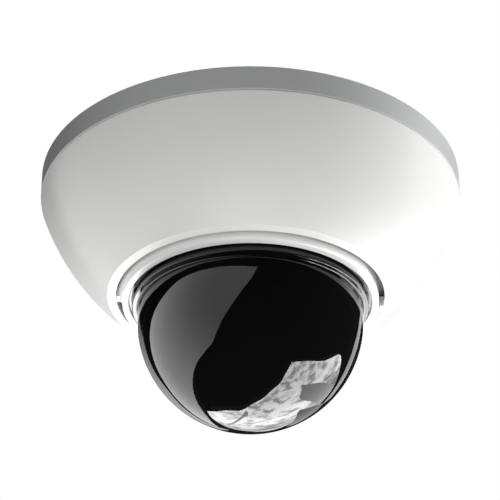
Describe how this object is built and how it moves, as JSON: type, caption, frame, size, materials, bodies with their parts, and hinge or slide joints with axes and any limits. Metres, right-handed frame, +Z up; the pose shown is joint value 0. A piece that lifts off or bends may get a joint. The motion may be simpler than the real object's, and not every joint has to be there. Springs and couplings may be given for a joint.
{
  "type": "dome camera",
  "caption": "Ceiling dome security camera: grey mounting base, white bowl cover, twist-lock collar with smoked bubble, and a lens on a pan, tilt and rotation gimbal inside.",
  "frame": {"origin": "centre of the ceiling face, where the base meets the ceiling", "axes": "+Z up into the ceiling along the camera's axis, so the bubble hangs towards -Z; +X along the tilt axis; the lens tilts towards -Y"},
  "size_m": [0.15, 0.15, 0.0945],
  "materials": {
    "rim_grey": "satin",
    "cover_white": "satin",
    "collar_white": "gloss",
    "smoked_clear": "polished",
    "black_rubber": "matte",
    "plated_steel": "satin",
    "screw_steel": "satin",
    "spring_steel": "satin",
    "board_green": "satin",
    "brass": "satin",
    "terminal_green": "satin",
    "nickel": "polished",
    "chip_black": "matte",
    "bare_aluminium": "satin",
    "capacitor_sleeve": "gloss",
    "dark_plastic": "matte",
    "liner_black": "matte",
    "lens_black": "satin",
    "lens_glass": "polished",
    "filter_glass": "polished"
  },
  "bodies": {
    "base": {"mount_base": "rim_grey", "cover_seal": "black_rubber", "cable_grommet": "black_rubber", "pan_keeper": "plated_steel", "keeper_screws": "screw_steel", "pan_lock_screw": "screw_steel", "main_board": "board_green", "board_standoffs": "brass", "board_screws": "screw_steel", "power_terminal": "terminal_green", "video_socket": "nickel", "image_processor": "chip_black", "heat_sink": "bare_aluminium", "capacitors": "capacitor_sleeve", "cover_clips": "spring_steel", "clip_screws": "screw_steel"},
    "pan": {"pan_turntable": "dark_plastic", "inner_liner": "liner_black", "liner_screws": "screw_steel"},
    "tilt": {"tilt_cradle": "dark_plastic", "tilt_pins": "screw_steel"},
    "lens": {"camera_core": "bare_aluminium", "core_clip": "spring_steel", "sensor_holder": "dark_plastic", "sensor_board": "board_green", "image_sensor": "chip_black", "ir_filter": "filter_glass", "sensor_screws": "screw_steel", "lens_barrel": "lens_black", "front_lens": "lens_glass", "rear_lens": "lens_glass"},
    "zoom": {"zoom_ring": "lens_black", "zoom_lever": "screw_steel"},
    "focus": {"focus_ring": "lens_black", "focus_lever": "screw_steel"},
    "cover": {"cover_bowl": "cover_white", "dust_seal": "black_rubber"},
    "dome": {"dome_collar": "collar_white", "smoked_bubble": "smoked_clear", "bubble_gasket": "black_rubber", "bubble_clamp": "dark_plastic"}
  },
  "joints": [
    {"name": "cover_off", "type": "slide", "parent": "base", "child": "cover", "axis": [0, 0, -1], "range_m": [0, 0.12]},
    {"name": "dome_twist", "type": "hinge", "parent": "cover", "child": "dome", "pos_m": [0, 0, 0], "axis": [0, 0, 1], "range_deg": [0, 20]},
    {"name": "pan_turn", "type": "hinge", "parent": "base", "child": "pan", "pos_m": [0, 0, 0], "axis": [0, 0, 1], "range_deg": [-177, 177]},
    {"name": "tilt_swing", "type": "hinge", "parent": "pan", "child": "tilt", "pos_m": [0, 0, -0.0552], "axis": [-1, 0, 0], "range_deg": [-10, 85]},
    {"name": "lens_turn", "type": "hinge", "parent": "tilt", "child": "lens", "pos_m": [0, 0, -0.0552], "axis": [0, 0, 1], "range_deg": [-175, 175]},
    {"name": "zoom_turn", "type": "hinge", "parent": "lens", "child": "zoom", "pos_m": [0, 0, -0.0552], "axis": [0, 0, 1], "range_deg": [0, 60]},
    {"name": "focus_turn", "type": "hinge", "parent": "lens", "child": "focus", "pos_m": [0, 0, -0.0552], "axis": [0, 0, 1], "range_deg": [0, 110]}
  ]
}
